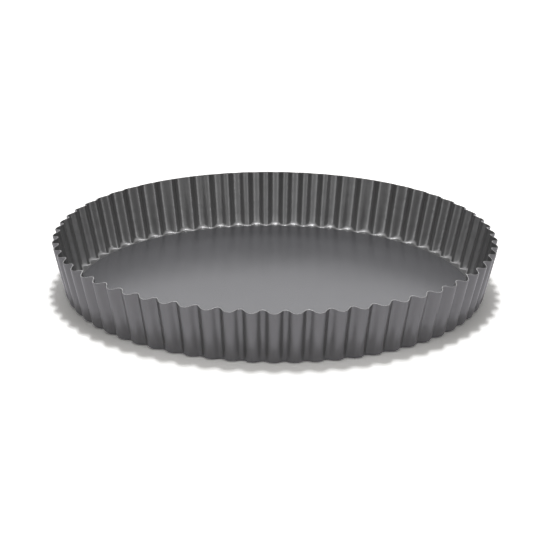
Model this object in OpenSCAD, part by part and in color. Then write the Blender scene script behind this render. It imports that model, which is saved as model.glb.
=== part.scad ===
// Fluted tart pan: a pressed sheet ring with a fluted, leaning wall and a flat ledge,
// and a loose flat base that drops in from above and rests on the ledge.
// Millimetres, +Z up. The origin is the middle of the ring's underside, on the table.

/* [Ring] */
// Outside diameter of the rim, measured over the lobes of the flutes
rim_d = 310; // [270:1:350]
// Height of the ring, from the table to the rim's high points at the ridges
ring_h = 39.7; // [30:0.1:55]
// Lean of the wall from upright, in degrees
wall_lean = 14.4; // [8:0.1:20]
// Thickness of the ring's coated sheet
sheet_t = 0.7; // [0.5:0.05:1]
// Inside radius of the bend from the wall to the ledge
bend_r = 2.8; // [2:0.1:4]

/* [Flutes] */
// Distance from one flute to the next along the rim, which gives the number of flutes
flute_pitch = 15.2; // [14.8:0.1:18]
// Depth of the flutes, from the line of the lobes to the line of the ridges
flute_depth = 4.3; // [3:0.1:5]
// Radius of the outward lobe, at the middle of the sheet
lobe_r = 4.9; // [4:0.1:5.4]
// Radius of the inward ridge, at the middle of the sheet
ridge_r = 3.1; // [2.2:0.1:3.6]
// How much lower the rim is at the lobes than at the ridges
rim_dip = 1.4; // [0:0.1:2]

/* [Base] */
// Thickness of the loose base's coated sheet
base_t = 0.7; // [0.5:0.05:1.2]
// Gap all round between the base and the feet of the ridges
base_gap = 0.4; // [0.2:0.05:1]
// Width of the ledge that the base rests on
seat_w = 8.5; // [5:0.5:14]

/* [Hidden] */

// Chords in a lobe's arc, in a ridge's arc and in the bend at the foot of the wall
lobe_steps = 4;
ridge_steps = 3;
bend_steps = 2;
$fn = 180;

// Plan of the rim
rim_r = rim_d / 2;
flutes = round(PI * rim_d / flute_pitch);
plan_t = sheet_t / cos(wall_lean);
pitch_r = rim_r - (plan_t + flute_depth) / 2;
half_pitch = PI * pitch_r / flutes;
turn_sum = lobe_r + ridge_r;

// The straight flank between a lobe and a ridge is the tangent that crosses between their circles
centre_gap = norm([half_pitch, turn_sum - flute_depth]);
flank_angle = asin(turn_sum / centre_gap) - atan2(turn_sum - flute_depth, half_pitch);

// Section of the foot, measured outwards from the corner that the wall's outside would make with the table
foot_r = rim_r - (ring_h - rim_dip) * tan(wall_lean);
outer_bend_r = bend_r + sheet_t;
bend_centre_x = -outer_bend_r * tan((90 - wall_lean) / 2);

// Radius of the ledge's start at a ridge, which the base has to clear
ridge_foot_r = (rim_r - plan_t - flute_depth) * (foot_r + bend_centre_x + plan_t) / rim_r;
base_r = ridge_foot_r - base_gap;
opening_r = base_r - seat_w;

// The ledge joins the fluted wall half way along the seat, and both reach past the joint
join_r = base_r - seat_w / 2;
join_lap = seat_w / 4;

// One flute of the sheet's outside (side = 1) or inside (side = -1), flattened out:
// [along, outwards, share], where the share runs from 1 at the lobe to 0 at the ridge
function flute_outline(side) =
    let (
        lobe = lobe_r + side * plan_t / 2,
        ridge = ridge_r - side * plan_t / 2,
        lobe_centre = -lobe_r - plan_t / 2,
        ridge_centre = ridge_r - plan_t / 2 - flute_depth
    )
    concat(
        [for (i = [0:lobe_steps])
            let (a = flank_angle * (2 * i / lobe_steps - 1))
            [lobe * sin(a), lobe_centre + lobe * cos(a), 1 - lobe_r * (1 - cos(a)) / flute_depth]],
        [for (i = [0:ridge_steps])
            let (a = flank_angle * (1 - 2 * i / ridge_steps))
            [half_pitch - ridge * sin(a), ridge_centre - ridge * cos(a), ridge_r * (1 - cos(a)) / flute_depth]]
    );

// The whole rim line as [angle, radius, share], starting with the lobe on +X
function rim_line(side) =
    [for (k = [0:flutes - 1])
        for (p = flute_outline(side))
            [(p[0] + 2 * k * half_pitch) / pitch_r * 180 / PI, rim_r + p[1], p[2]]];

// A level of the sheet is the rim line drawn in towards the axis: [scale, height]
function wall_level(z) = [(foot_r + z * tan(wall_lean)) / rim_r, z];
function bend_level(radius, inset, a) =
    [(foot_r + bend_centre_x + inset + radius * sin(a)) / rim_r, outer_bend_r - radius * cos(a)];

function level_points(line, level) =
    [for (p = line) [p[1] * level[0] * cos(p[0]), p[1] * level[0] * sin(p[0]), level[1]]];
function rim_points(line) =
    [for (p = line)
        let (level = wall_level(ring_h - rim_dip * p[2]))
        [p[1] * level[0] * cos(p[0]), p[1] * level[0] * sin(p[0]), level[1]]];
function circle_points(line, radius, z) =
    [for (p = line) [radius * cos(p[0]), radius * sin(p[0]), z]];

// Levels of the bend, down the outside and up the inside
bend_angles = [for (i = [0:bend_steps]) (90 - wall_lean) * i / bend_steps];
outside_levels = [for (i = [bend_steps:-1:0]) bend_level(outer_bend_r, 0, bend_angles[i])];
inside_levels = [for (a = bend_angles) bend_level(bend_r, plan_t, a)];

module fluted_wall() {
    outside = rim_line(1);
    inside = rim_line(-1);
    count = len(outside);
    rings = concat(
        [rim_points(outside)],
        [for (level = outside_levels) level_points(outside, level)],
        [circle_points(outside, join_r - join_lap, 0)],
        [circle_points(inside, join_r - join_lap, sheet_t)],
        [for (level = inside_levels) level_points(inside, level)],
        [rim_points(inside)]
    );
    last = len(rings);
    polyhedron(
        points = [for (ring = rings) for (p = ring) p],
        faces = [
            for (j = [0:last - 1])
                for (i = [0:count - 1])
                    let (
                        a = j * count + i,
                        b = j * count + (i + 1) % count,
                        c = ((j + 1) % last) * count + (i + 1) % count,
                        d = ((j + 1) % last) * count + i
                    )
                    // the wavy top edge of the sheet is slightly twisted, so it is given as triangles
                    each j == last - 1 ? [[a, b, c], [a, c, d]] : [[a, b, c, d]]
        ]
    );
}

module ledge() {
    rotate_extrude()
        translate([opening_r, 0])
            square([join_r + join_lap - opening_r, sheet_t]);
}

module fluted_ring() {
    color("dimgray")
        union() {
            fluted_wall();
            ledge();
        }
}

// A flat disc whose cut edge is rounded over by the coating
module loose_base() {
    color("dimgray")
        translate([0, 0, sheet_t])
            rotate_extrude() {
                square([base_r - base_t / 2, base_t]);
                translate([base_r - base_t / 2, base_t / 2])
                    intersection() {
                        circle(d = base_t);
                        translate([0, -base_t / 2])
                            square(base_t);
                    }
            }
}

fluted_ring();
loose_base();
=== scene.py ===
import math
import random

import bmesh
import bpy
from mathutils import Matrix, Vector


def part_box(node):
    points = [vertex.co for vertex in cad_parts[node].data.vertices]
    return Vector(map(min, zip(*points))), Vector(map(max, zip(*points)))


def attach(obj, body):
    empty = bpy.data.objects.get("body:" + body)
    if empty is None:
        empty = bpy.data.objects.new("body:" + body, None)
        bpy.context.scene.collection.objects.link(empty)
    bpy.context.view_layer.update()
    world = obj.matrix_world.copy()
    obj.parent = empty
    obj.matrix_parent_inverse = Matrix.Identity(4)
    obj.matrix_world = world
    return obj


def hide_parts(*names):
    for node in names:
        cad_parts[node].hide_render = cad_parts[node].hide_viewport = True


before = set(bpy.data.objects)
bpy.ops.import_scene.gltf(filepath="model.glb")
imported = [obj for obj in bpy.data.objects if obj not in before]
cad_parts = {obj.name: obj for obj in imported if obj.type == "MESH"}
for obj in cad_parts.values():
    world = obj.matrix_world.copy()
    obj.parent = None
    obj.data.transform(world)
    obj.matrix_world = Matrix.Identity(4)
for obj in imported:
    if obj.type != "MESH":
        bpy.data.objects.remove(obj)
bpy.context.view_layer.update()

mm = 0.001
white = (1.0, 1.0, 1.0, 1.0)
ringLow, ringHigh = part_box("fluted_ring")
baseLow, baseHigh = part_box("loose_base")
ringSize = ringHigh - ringLow
print("frame loaded, ring", round(ringSize.x / mm, 1), "mm across and", round(ringSize.z / mm, 1), "mm high")


# small helpers for objects, materials and node trees

def putInScene(name, data):
    thing = bpy.data.objects.new(name, data)
    bpy.context.scene.collection.objects.link(thing)
    return thing


def emptyMaterial(name):
    material = bpy.data.materials.new(name)
    material.use_nodes = True
    material.node_tree.nodes.clear()
    return material


def addNode(tree, kind, **settings):
    node = tree.nodes.new(kind)
    for name, value in settings.items():
        setattr(node, name, value)
    return node


def feed(tree, socket, value):
    # a socket takes either another node's output or a plain value
    if isinstance(value, bpy.types.NodeSocket):
        tree.links.new(value, socket)
    else:
        socket.default_value = value


def showSurface(tree, shader, kind="ShaderNodeOutputMaterial"):
    feed(tree, addNode(tree, kind).inputs["Surface"], shader.outputs[0])


def calc(tree, operation, *values):
    node = addNode(tree, "ShaderNodeMath", operation=operation)
    for socket, value in zip(node.inputs, values):
        feed(tree, socket, value)
    return node.outputs[0]


def add(tree, *values):
    total = values[0]
    for value in values[1:]:
        total = calc(tree, "ADD", total, value)
    return total


def times(tree, *values):
    total = values[0]
    for value in values[1:]:
        total = calc(tree, "MULTIPLY", total, value)
    return total


def minus(tree, a, b):
    return calc(tree, "SUBTRACT", a, b)


def clampTo(tree, value, low, high):
    return calc(tree, "MINIMUM", calc(tree, "MAXIMUM", value, low), high)


def blendOf(tree, low, high, share):
    return calc(tree, "MULTIPLY_ADD", minus(tree, high, low), share, low)


def ramp(tree, value, ends, results=(0, 1)):
    # level up to the first end, then evenly from one result to the other, and level past the second end
    node = addNode(tree, "ShaderNodeMapRange")
    feed(tree, node.inputs["Value"], value)
    node.inputs["From Min"].default_value, node.inputs["From Max"].default_value = ends
    node.inputs["To Min"].default_value, node.inputs["To Max"].default_value = results
    return node.outputs["Result"]


def mixColour(tree, share, first, second):
    node = addNode(tree, "ShaderNodeMix", data_type="RGBA")
    feed(tree, node.inputs["Factor"], share)
    feed(tree, node.inputs["A"], first)
    feed(tree, node.inputs["B"], second)
    return node.outputs["Result"]


def partsOf(tree, vector):
    node = addNode(tree, "ShaderNodeSeparateXYZ")
    feed(tree, node.inputs[0], vector)
    return node.outputs


# materials: a dark grey satin non-stick coat on steel

coating = {
    "ringTint": (0.96, 0.958, 0.97),
    "baseTint": (0.99, 0.99, 1.058),
    "darkGrey": 0.174,
    "lightGrey": 0.182,
    "fleckGrey": 0.21,
    "fleckShare": 0.3,
    # the cut edge of the rim: worn thin coat, and partly a painted highlight along the edge
    "rimWearAndHighlightGrey": (0.30, 0.30, 0.30, 1.0),
    "rimWearAndHighlightDepth": 0.5 * mm,
    # the grey of the painted light down the wall and of the painted highlight in the fold
    "paintedLightGrey": 0.36,
    "paintedFootLightShare": 0.25,                     # painted light, full at the foot of the wall, and none at the rim
    "foldHighlightHeights": (2.6 * mm, 1.3 * mm),   # above the table, where the painted highlight in the fold starts and is full
    "foldHighlightFacing": (0.35, 0.6),             # how far up the inside of the fold faces, where it starts
    "foldHighlightLedgeFacing": (0.99, 0.93),           # and where it ends
    "foldRough": 0.45,
    "metallic": 0.58,
    "roughness": (0.26, 0.272),
    "ringRougher": 0.02,
    # the noises: size, octaves of detail and the strength of each finer octave
    "clouds": (28 * mm, 4, 0.55),
    "flecks": (0.45 * mm, 2, 0.6),
    "dullness": (28 / 3 * mm, 3, 0.5),
    "rimWearAndHighlight": (3 * mm, 3, 0.6),
    "peel": (1.1 * mm, 3, 0.6),
    "unevenness": (5.5 * mm, 3, 0.6),
    # the levels of a noise at which its effect starts and is full
    "cloudEnds": (0.35, 0.65),
    "fleckEnds": (0.60, 0.72),
    "dullEnds": (0.3, 0.7),
    "rimWearAndHighlightEnds": (0.3, 0.7),
    "peelDepth": 0.003 * mm,
    "unevenDepth": 0.13 * mm,              # of the pressed wall, and the base has none
}


def coatingMaterial(name, tint, rimHeight=None):
    # a rim height makes it the ring's coat, which changes from the rim to the foot
    material = emptyMaterial(name)
    tree = material.node_tree
    place = addNode(tree, "ShaderNodeTexCoord").outputs["Object"]

    def noise(size, detail, roughness):
        node = addNode(tree, "ShaderNodeTexNoise")
        feed(tree, node.inputs["Vector"], place)
        node.inputs["Scale"].default_value = 1 / size
        node.inputs["Detail"].default_value = detail
        node.inputs["Roughness"].default_value = roughness
        return node.outputs["Fac"]

    def tinted(grey):
        return (grey * tint[0], grey * tint[1], grey * tint[2], 1.0)

    def bump(height, depth):
        node = addNode(tree, "ShaderNodeBump")
        node.inputs["Strength"].default_value = 1.0
        node.inputs["Distance"].default_value = depth
        feed(tree, node.inputs["Height"], height)
        return node

    clouds = ramp(tree, noise(*coating["clouds"]), coating["cloudEnds"])
    colour = mixColour(tree, clouds, tinted(coating["darkGrey"]), tinted(coating["lightGrey"]))
    flecks = ramp(tree, noise(*coating["flecks"]), coating["fleckEnds"])
    colour = mixColour(tree, times(tree, flecks, coating["fleckShare"]), colour, tinted(coating["fleckGrey"]))
    rougher = coating["ringRougher"] if rimHeight else 0
    roughEnds = [value + rougher for value in coating["roughness"]]
    rough = ramp(tree, noise(*coating["dullness"]), coating["dullEnds"], roughEnds)
    peel = bump(noise(*coating["peel"]), coating["peelDepth"])

    if rimHeight:
        # the coat is thin on the cut edge of the rim, and the edge is also painted lighter there as a painted
        # highlight
        height = partsOf(tree, place)["Z"]
        nearRim = ramp(tree, height, (rimHeight - coating["rimWearAndHighlightDepth"], rimHeight))
        rimWearAndHighlight = times(tree, nearRim, ramp(tree, noise(*coating["rimWearAndHighlight"]), coating["rimWearAndHighlightEnds"]))
        colour = mixColour(tree, rimWearAndHighlight, colour, coating["rimWearAndHighlightGrey"])
        # painted light: it is painted paler down the wall, lighter towards the foot, in place of brighter
        # light low on the wall
        paintedFootLight = times(tree, ramp(tree, height, (rimHeight, 0)), coating["paintedFootLightShare"])
        colour = mixColour(tree, paintedFootLight, colour, tinted(coating["paintedLightGrey"]))
        # painted highlight: the coat is painted palest inside the fold at the foot, which faces half upwards,
        # as a bright line of light there; it is also made dullest there
        facing = partsOf(tree, addNode(tree, "ShaderNodeNewGeometry").outputs["Normal"])["Z"]
        paintedFoldHighlight = times(
            tree,
            ramp(tree, facing, coating["foldHighlightFacing"]),
            ramp(tree, facing, coating["foldHighlightLedgeFacing"]),
            ramp(tree, height, coating["foldHighlightHeights"]),
        )
        colour = mixColour(tree, paintedFoldHighlight, colour, tinted(coating["paintedLightGrey"]))
        rough = blendOf(tree, rough, coating["foldRough"], paintedFoldHighlight)
        # the wall is slightly uneven from the pressing
        uneven = bump(noise(*coating["unevenness"]), coating["unevenDepth"])
        feed(tree, peel.inputs["Normal"], uneven.outputs["Normal"])

    shader = addNode(tree, "ShaderNodeBsdfPrincipled")
    feed(tree, shader.inputs["Base Color"], colour)
    feed(tree, shader.inputs["Roughness"], rough)
    shader.inputs["Metallic"].default_value = coating["metallic"]
    feed(tree, shader.inputs["Normal"], peel.outputs["Normal"])
    showSurface(tree, shader)
    return material


ringCoat = coatingMaterial("ringCoating", coating["ringTint"], rimHeight=ringHigh.z)
baseCoat = coatingMaterial("baseCoating", coating["baseTint"])
print("materials ready")


# the ring: one fluted sheet, drawn as its middle surface and then given its thickness

ring = {
    "height": ringHigh.z,
    "rimRadius": ringHigh.x,
    "lean": math.radians(14.1),
    "sheet": 0.7 * mm,
    "lobeBend": 3.8 * mm,        # inside of the bend at the foot, where a lobe meets the ledge
    "ridgeBend": 1.2 * mm,       # and where a ridge does
    "flutes": 64,
    "fluteDepth": 4.3 * mm,
    "lobeRadius": 4.9 * mm,      # both radii at the middle of the sheet
    "ridgeRadius": 3.1 * mm,
    "rimDip": 1.4 * mm,          # the rim is this much lower at the lobes
    "openingRadius": baseHigh.x - 8.5 * mm,
    "stepsPerFlute": 20,
    "stepsPerPart": 6,           # of the wall, of the bend and of the ledge
    "mergeWithin": 0.01 * mm,    # closes the seam of the sheet
    "edgeRound": 0.18 * mm,
    "edgeSteps": 2,
    "edgeAngle": math.radians(60),
}


def flutedSheetTree():
    tree = bpy.data.node_groups.new("flutedSheet", "GeometryNodeTree")
    tree.interface.new_socket("Geometry", in_out="OUTPUT", socket_type="NodeSocketGeometry")
    for name in ("Rim Radius", "Height", "Rim Dip", "Lean", "Sheet", "Lobe Bend", "Ridge Bend", "Flute Depth",
                 "Lobe Radius", "Ridge Radius", "Opening Radius"):
        tree.interface.new_socket(name, in_out="INPUT", socket_type="NodeSocketFloat")
    for name in ("Flutes", "Steps Per Flute", "Steps Per Part"):
        tree.interface.new_socket(name, in_out="INPUT", socket_type="NodeSocketInt")
    tree.interface.new_socket("Material", in_out="INPUT", socket_type="NodeSocketMaterial")
    given = addNode(tree, "NodeGroupInput").outputs

    # sizes of one flute in plan
    leanCos = calc(tree, "COSINE", given["Lean"])
    leanTan = calc(tree, "TANGENT", given["Lean"])
    planSheet = calc(tree, "DIVIDE", given["Sheet"], leanCos)
    halfFlute = times(tree, add(tree, planSheet, given["Flute Depth"]), 0.5)
    pitchRadius = minus(tree, given["Rim Radius"], halfFlute)
    halfPitch = times(tree, calc(tree, "DIVIDE", pitchRadius, given["Flutes"]), math.pi)
    turnSum = add(tree, given["Lobe Radius"], given["Ridge Radius"])
    across = minus(tree, turnSum, given["Flute Depth"])
    centreGap = calc(tree, "SQRT", add(tree, times(tree, halfPitch, halfPitch), times(tree, across, across)))
    flankAngle = minus(
        tree,
        calc(tree, "ARCSINE", calc(tree, "DIVIDE", turnSum, centreGap)),
        calc(tree, "ARCTAN2", across, halfPitch),
    )
    flankLength = calc(
        tree, "SQRT", minus(tree, times(tree, centreGap, centreGap), times(tree, turnSum, turnSum)))
    lobeLength = times(tree, given["Lobe Radius"], flankAngle)
    ridgeLength = times(tree, given["Ridge Radius"], flankAngle)

    # a flat grid: one direction goes round the rim, the other from the rim to the opening
    sectionParts = 3             # the wall, the bend and the ledge
    grid = addNode(tree, "GeometryNodeMeshGrid")
    grid.inputs["Size X"].default_value = 1
    grid.inputs["Size Y"].default_value = 1
    roundCount = times(tree, given["Flutes"], given["Steps Per Flute"])
    downCount = times(tree, given["Steps Per Part"], sectionParts)
    feed(tree, grid.inputs["Vertices X"], add(tree, roundCount, 1))
    feed(tree, grid.inputs["Vertices Y"], add(tree, downCount, 1))
    cell = partsOf(tree, addNode(tree, "GeometryNodeInputPosition").outputs[0])
    roundShare = add(tree, cell["X"], 0.5)
    downShare = minus(tree, 0.5, cell["Y"])

    # how far along the sheet from the middle of the nearest lobe
    fluteAt = times(tree, roundShare, given["Flutes"])
    fluteNumber = calc(tree, "ROUND", fluteAt)
    offset = minus(tree, fluteAt, fluteNumber)
    side = calc(tree, "SIGN", offset)
    halfLength = add(tree, lobeLength, flankLength, ridgeLength)
    travel = times(tree, calc(tree, "ABSOLUTE", offset), 2, halfLength)
    lobeTurn = calc(tree, "DIVIDE", calc(tree, "MINIMUM", travel, lobeLength), given["Lobe Radius"])
    flank = clampTo(tree, minus(tree, travel, lobeLength), 0, flankLength)
    ridgeTravel = calc(tree, "MAXIMUM", minus(tree, travel, add(tree, lobeLength, flankLength)), 0)
    ridgeLeft = minus(tree, flankAngle, calc(tree, "DIVIDE", ridgeTravel, given["Ridge Radius"]))
    along = add(
        tree,
        times(tree, given["Lobe Radius"], calc(tree, "SINE", lobeTurn)),
        times(tree, flank, calc(tree, "COSINE", flankAngle)),
        times(tree, given["Ridge Radius"],
              minus(tree, calc(tree, "SINE", flankAngle), calc(tree, "SINE", ridgeLeft))),
    )
    inwards = add(
        tree,
        times(tree, given["Lobe Radius"], minus(tree, 1, calc(tree, "COSINE", lobeTurn))),
        times(tree, flank, calc(tree, "SINE", flankAngle)),
        times(tree, given["Ridge Radius"],
              minus(tree, calc(tree, "COSINE", ridgeLeft), calc(tree, "COSINE", flankAngle))),
    )
    alongAll = add(tree, times(tree, fluteNumber, halfPitch, 2), times(tree, side, along))
    angle = calc(tree, "DIVIDE", alongAll, pitchRadius)
    lineRadius = minus(tree, given["Rim Radius"], add(tree, times(tree, planSheet, 0.5), inwards))

    # the section: wall, bend and ledge, each with the same number of steps
    parts = times(tree, downShare, sectionParts)
    wallShare = clampTo(tree, parts, 0, 1)
    bendShare = clampTo(tree, minus(tree, parts, 1), 0, 1)
    ledgeShare = clampTo(tree, minus(tree, parts, 2), 0, 1)
    lobeShare = minus(tree, 1, calc(tree, "DIVIDE", inwards, given["Flute Depth"]))
    innerBend = blendOf(tree, given["Ridge Bend"], given["Lobe Bend"], lobeShare)
    middleBend = add(tree, innerBend, times(tree, given["Sheet"], 0.5))
    outerBend = add(tree, innerBend, given["Sheet"])
    bendTop = minus(tree, outerBend, times(tree, middleBend, calc(tree, "SINE", given["Lean"])))
    fullTurn = minus(tree, math.pi / 2, given["Lean"])
    turnLeft = times(tree, fullTurn, minus(tree, 1, bendShare))
    rimZ = minus(tree, given["Height"], times(tree, given["Rim Dip"], lobeShare))
    wallZ = blendOf(tree, rimZ, bendTop, wallShare)
    bendDrop = times(
        tree, middleBend, minus(tree, calc(tree, "COSINE", turnLeft), calc(tree, "COSINE", fullTurn)))
    bendInwards = times(
        tree, middleBend, minus(tree, calc(tree, "SINE", fullTurn), calc(tree, "SINE", turnLeft)))
    lobeHeight = minus(tree, given["Height"], given["Rim Dip"])
    footRadius = minus(tree, given["Rim Radius"], times(tree, lobeHeight, leanTan))
    sectionRadius = minus(tree, add(tree, footRadius, times(tree, wallZ, leanTan)), bendInwards)
    drawnIn = calc(tree, "DIVIDE", sectionRadius, given["Rim Radius"])
    radius = blendOf(tree, times(tree, lineRadius, drawnIn), given["Opening Radius"], ledgeShare)

    # the grid takes this shape, closes into a ring and gets its coat
    place = addNode(tree, "ShaderNodeCombineXYZ")
    feed(tree, place.inputs["X"], times(tree, radius, calc(tree, "COSINE", angle)))
    feed(tree, place.inputs["Y"], times(tree, radius, calc(tree, "SINE", angle)))
    feed(tree, place.inputs["Z"], minus(tree, wallZ, bendDrop))
    shaped = addNode(tree, "GeometryNodeSetPosition")
    feed(tree, shaped.inputs["Geometry"], grid.outputs["Mesh"])
    feed(tree, shaped.inputs["Position"], place.outputs[0])
    closed = addNode(tree, "GeometryNodeMergeByDistance")
    feed(tree, closed.inputs["Geometry"], shaped.outputs[0])
    closed.inputs["Distance"].default_value = ring["mergeWithin"]
    smooth = addNode(tree, "GeometryNodeSetShadeSmooth")
    feed(tree, smooth.inputs["Geometry"], closed.outputs[0])
    real = addNode(tree, "GeometryNodeRealizeInstances")
    feed(tree, real.inputs[0], smooth.outputs[0])
    coated = addNode(tree, "GeometryNodeSetMaterial")
    feed(tree, coated.inputs["Geometry"], real.outputs[0])
    feed(tree, coated.inputs["Material"], given["Material"])
    feed(tree, addNode(tree, "NodeGroupOutput").inputs[0], coated.outputs[0])
    return tree


def plainMesh(source, name):
    # what the modifiers make, as a mesh of its own
    bpy.context.view_layer.update()
    graph = bpy.context.evaluated_depsgraph_get()
    mesh = bpy.data.meshes.new_from_object(source.evaluated_get(graph))
    bpy.data.objects.remove(source)
    mesh.name = name
    return putInScene(name, mesh)


def makeRing():
    seed = putInScene("ringSeed", bpy.data.meshes.new("ringSeed"))
    nodes = seed.modifiers.new("flutes", "NODES")
    nodes.node_group = flutedSheetTree()
    values = {
        "Rim Radius": ring["rimRadius"],
        "Height": ring["height"],
        "Rim Dip": ring["rimDip"],
        "Lean": ring["lean"],
        "Sheet": ring["sheet"],
        "Lobe Bend": ring["lobeBend"],
        "Ridge Bend": ring["ridgeBend"],
        "Flute Depth": ring["fluteDepth"],
        "Lobe Radius": ring["lobeRadius"],
        "Ridge Radius": ring["ridgeRadius"],
        "Opening Radius": ring["openingRadius"],
        "Flutes": ring["flutes"],
        "Steps Per Flute": ring["stepsPerFlute"],
        "Steps Per Part": ring["stepsPerPart"],
        "Material": ringCoat,
    }
    for item in nodes.node_group.interface.items_tree:
        if item.in_out == "INPUT":
            nodes[item.identifier] = values[item.name]
    thick = seed.modifiers.new("sheet", "SOLIDIFY")
    thick.thickness = ring["sheet"]
    thick.offset = 0
    thick.use_even_offset = True
    rounded = seed.modifiers.new("cut edges", "BEVEL")
    rounded.width = ring["edgeRound"]
    rounded.segments = ring["edgeSteps"]
    rounded.limit_method = "ANGLE"
    rounded.angle_limit = ring["edgeAngle"]
    rounded.harden_normals = True
    return plainMesh(seed, "flutedRing")


ringPiece = makeRing()
print("ring made,", len(ringPiece.data.polygons), "faces")


# the loose base: a flat disc, very slightly uneven as rolled sheet is

base = {
    "radius": baseHigh.x,
    "bottom": baseLow.z,
    "top": baseHigh.z,
    "edgeRound": 0.3 * mm,
    "edgeSteps": 4,
    "around": 256,
    "rings": 48,
    "seed": 7,
    "waves": 5,
    "waveHeight": 0.05 * mm,
    "waveLength": 85 * mm,
    "waveSpread": (0.7, 1.4),    # shortest and longest wave, in parts of that length
    "waveFade": 4,               # the higher, the nearer to the edge the waves die out
}


def makeBase():
    random.seed(base["seed"])
    waves = []
    for number in range(base["waves"]):
        heading = random.uniform(0, 2 * math.pi)
        length = base["waveLength"] * random.uniform(*base["waveSpread"])
        start = random.uniform(0, 2 * math.pi)
        waves.append((math.cos(heading) / length, math.sin(heading) / length, start))

    def rise(x, y):
        fade = 1 - (math.hypot(x, y) / base["radius"]) ** base["waveFade"]
        total = sum(math.sin(2 * math.pi * (x * kx + y * ky) + start) for kx, ky, start in waves)
        return fade * base["waveHeight"] / 2 * total

    # the section from near the middle over the top, round the edge and back below
    top, bottom, edge = base["top"], base["bottom"], base["edgeRound"]
    radii = [base["radius"] * step / base["rings"] for step in range(1, base["rings"])]
    section = [(radius, top) for radius in radii]
    for corner, start in ((top - edge, math.pi / 2), (bottom + edge, 0)):
        for step in range(base["edgeSteps"] + 1):
            turn = start - math.pi / 2 * step / base["edgeSteps"]
            section.append((base["radius"] - edge + edge * math.cos(turn), corner + edge * math.sin(turn)))
    section += [(radius, bottom) for radius in reversed(radii)]

    around = base["around"]
    mesh = bmesh.new()
    loops = []
    for radius, z in section:
        loop = []
        for step in range(around):
            turn = 2 * math.pi * step / around
            x, y = radius * math.cos(turn), radius * math.sin(turn)
            loop.append(mesh.verts.new((x, y, z + rise(x, y))))
        loops.append(loop)
    for inner, outer in zip(loops, loops[1:]):
        for step in range(around):
            after = (step + 1) % around
            mesh.faces.new((inner[step], outer[step], outer[after], inner[after]))
    for loop, z in ((loops[0], top), (loops[-1], bottom)):
        middle = mesh.verts.new((0, 0, z + rise(0, 0)))
        for step in range(around):
            mesh.faces.new((middle, loop[step], loop[(step + 1) % around]))
    bmesh.ops.recalc_face_normals(mesh, faces=mesh.faces)
    for face in mesh.faces:
        face.smooth = True
    data = bpy.data.meshes.new("looseBase")
    mesh.to_mesh(data)
    mesh.free()
    data.materials.append(baseCoat)
    return putInScene("looseBase", data)


basePiece = makeBase()
print("base made,", len(basePiece.data.polygons), "faces")

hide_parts("fluted_ring")
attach(ringPiece, "ring")
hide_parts("loose_base")
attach(basePiece, "base")


# the table, the light round it and the camera

studio = {
    "tableSize": 6.0,
    "tableDrop": 0.05 * mm,
    "tableGrey": 0.8,
    # in reflections the table is white with a faint tone, and darker to the sides: its levels near the
    # middle and at the sides, and the distances across between which it changes
    "tableMirrored": (1.4, 1.15),
    "mirroredAcross": (0.08, 0.18),
    "mirroredTone": (1.0, 0.985, 1.06, 1.0),
    # to the camera the lit table is plain white, with a painted shadow close by the foot at the sides: its
    # two levels, and the distances from the middle and across between which the painted shadow changes
    "tableSeen": (1.56, 1.1),
    "paintedShadowAround": (0.161, 0.152),
    "paintedShadowAcross": (0.07, 0.14),
    "skyLight": (0.0, 0.48, 0.42),         # from the sides, from the front and back, and from above
    "skyTone": (1.02, 1.0, 0.955, 1.0),
    "skySeen": 1.0,
    # soft boxes: width, height, watts, azimuth from the camera's side, elevation, distance
    "lamps": {
        "overhead": (0.16, 0.50, 22.7, 180, 84, 2.4),
        "behind": (2.6, 0.5, 14.3, 180, 44, 2.4),
        "frontLeft": (0.8, 1.0, 3.4, -41, 20, 2.3),
        "frontRight": (0.8, 1.0, 3.2, 41, 20, 2.3),
    },
    # cards that only reflections see, as the darker sides of the room with two tall bright windows:
    # azimuth from the camera's side, width, lower and upper edge, distance, grey
    "cards": (
        (0, 5.0, 0.02, 0.32, 2.1, 0.25),
        (0, 2.3, 0.33, 1.6, 2.2, 1.0),
        (95, 3.4, 0.02, 0.3, 1.9, 0.12),
        (95, 3.2, 0.3, 1.3, 1.95, 0.18),
        (-95, 3.4, 0.02, 0.3, 1.9, 0.12),
        (-95, 3.2, 0.3, 1.3, 1.95, 0.18),
        (54, 0.35, 0.2, 0.9, 1.8, 2.4),
        (-54, 0.35, 0.2, 0.9, 1.8, 2.4),
    ),
}

photoCamera = {
    "distance": 1.937,
    "elevation": math.radians(19.63),
    "roll": 0.0098,
    "sensor": 36,
    "lens": 181.06,
    "shiftX": 0.0008,
    "shiftY": 0.02634,
    "nearest": 0.05,
}


def aroundPan(azimuth, elevation, distance):
    # a place in the room: azimuth 0 is the camera's side, 90 is +X
    turn, rise = math.radians(azimuth), math.radians(elevation)
    level = math.cos(rise)
    return Vector((math.sin(turn) * level, -math.cos(turn) * level, math.sin(rise))) * distance


def makePanel(name, corners):
    # one flat rectangle of the room, with a material whose nodes are still to come
    mesh = bpy.data.meshes.new(name)
    mesh.from_pydata([tuple(corner) for corner in corners], [], [(0, 1, 2, 3)])
    mesh.materials.append(emptyMaterial(name))
    return putInScene(name, mesh)


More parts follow.
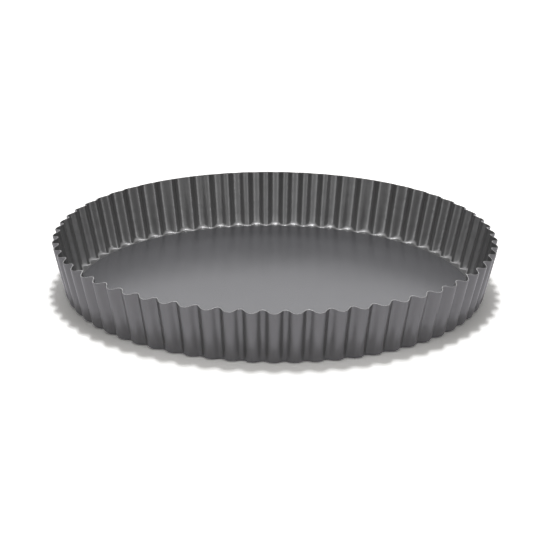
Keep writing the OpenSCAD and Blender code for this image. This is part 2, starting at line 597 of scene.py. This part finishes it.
def makeTable():
    half = studio["tableSize"] / 2
    z = -studio["tableDrop"]
    table = makePanel("table", ((-half, -half, z), (half, -half, z), (half, half, z), (-half, half, z)))
    tree = table.data.materials[0].node_tree
    path = addNode(tree, "ShaderNodeLightPath").outputs
    place = addNode(tree, "ShaderNodeTexCoord").outputs["Object"]
    across = calc(tree, "ABSOLUTE", partsOf(tree, place)["X"])
    around = addNode(tree, "ShaderNodeVectorMath", operation="LENGTH")
    feed(tree, around.inputs[0], place)
    # painted shadow: to the camera the table is painted darker close by the foot at the sides
    paintedFootShadow = times(
        tree,
        ramp(tree, around.outputs["Value"], studio["paintedShadowAround"]),
        ramp(tree, across, studio["paintedShadowAcross"]),
    )
    seen = blendOf(tree, *studio["tableSeen"], paintedFootShadow)
    mirrored = ramp(tree, across, studio["mirroredAcross"], studio["tableMirrored"])
    grey = blendOf(tree, studio["tableGrey"], mirrored, path["Is Glossy Ray"])
    grey = blendOf(tree, grey, seen, path["Is Camera Ray"])
    tone = mixColour(tree, path["Is Glossy Ray"], white, studio["mirroredTone"])
    toned = addNode(tree, "ShaderNodeVectorMath", operation="SCALE")
    feed(tree, toned.inputs[0], tone)
    feed(tree, toned.inputs["Scale"], grey)
    paint = addNode(tree, "ShaderNodeBsdfDiffuse")
    feed(tree, paint.inputs["Color"], toned.outputs[0])
    showSurface(tree, paint)


def makeLight():
    world = bpy.data.worlds.new("studio")
    bpy.context.scene.world = world
    world.use_nodes = True
    tree = world.node_tree
    tree.nodes.clear()
    path = addNode(tree, "ShaderNodeLightPath").outputs
    seen = calc(tree, "MAXIMUM", path["Is Camera Ray"], path["Is Glossy Ray"])
    # the light from a direction follows the squares of its three parts
    towards = addNode(tree, "ShaderNodeTexCoord").outputs["Generated"]
    squared = addNode(tree, "ShaderNodeVectorMath", operation="MULTIPLY")
    feed(tree, squared.inputs[0], towards)
    feed(tree, squared.inputs[1], towards)
    light = addNode(tree, "ShaderNodeVectorMath", operation="DOT_PRODUCT")
    feed(tree, light.inputs[0], squared.outputs[0])
    light.inputs[1].default_value = studio["skyLight"]
    glow = addNode(tree, "ShaderNodeBackground")
    feed(tree, glow.inputs["Strength"], blendOf(tree, light.outputs["Value"], studio["skySeen"], seen))
    feed(tree, glow.inputs["Color"], mixColour(tree, seen, studio["skyTone"], white))
    showSurface(tree, glow, "ShaderNodeOutputWorld")

    for name, (width, height, watts, azimuth, elevation, distance) in studio["lamps"].items():
        lamp = bpy.data.lights.new(name, "AREA")
        lamp.shape = "RECTANGLE"
        lamp.size = width
        lamp.size_y = height
        lamp.energy = watts
        softBox = putInScene(name, lamp)
        softBox.location = aroundPan(azimuth, elevation, distance)
        softBox.rotation_euler = (-softBox.location).to_track_quat("-Z", "Y").to_euler()


def makeCards():
    for number, (azimuth, width, bottom, top, distance, grey) in enumerate(studio["cards"]):
        middle = aroundPan(azimuth, 0, distance)
        along = Vector((-middle.y, middle.x, 0)).normalized() * width / 2
        low, high = Vector((0, 0, bottom)), Vector((0, 0, top))
        corners = (middle - along + low, middle + along + low, middle + along + high, middle - along + high)
        card = makePanel(f"card{number}", corners)
        card.visible_camera = False
        card.visible_diffuse = False
        card.visible_shadow = False
        tree = card.data.materials[0].node_tree
        paint = addNode(tree, "ShaderNodeEmission")
        paint.inputs["Color"].default_value = (grey, grey, grey, 1)
        showSurface(tree, paint)


def makeCamera():
    lens = bpy.data.cameras.new("photoCamera")
    lens.sensor_width = photoCamera["sensor"]
    lens.lens = photoCamera["lens"]
    lens.shift_x = photoCamera["shiftX"]
    lens.shift_y = photoCamera["shiftY"]
    lens.clip_start = photoCamera["nearest"]
    camera = putInScene("photoCamera", lens)
    up, back = math.sin(photoCamera["elevation"]), math.cos(photoCamera["elevation"])
    camera.location = Vector((0, -back, up)) * photoCamera["distance"]
    tilt = Matrix.Rotation(math.pi / 2 - photoCamera["elevation"], 4, "X")
    camera.rotation_euler = (tilt @ Matrix.Rotation(photoCamera["roll"], 4, "Z")).to_euler()
    bpy.context.scene.camera = camera


makeTable()
makeLight()
makeCards()
makeCamera()
bpy.context.scene.view_settings.view_transform = "Standard"
print("table, light and camera ready")
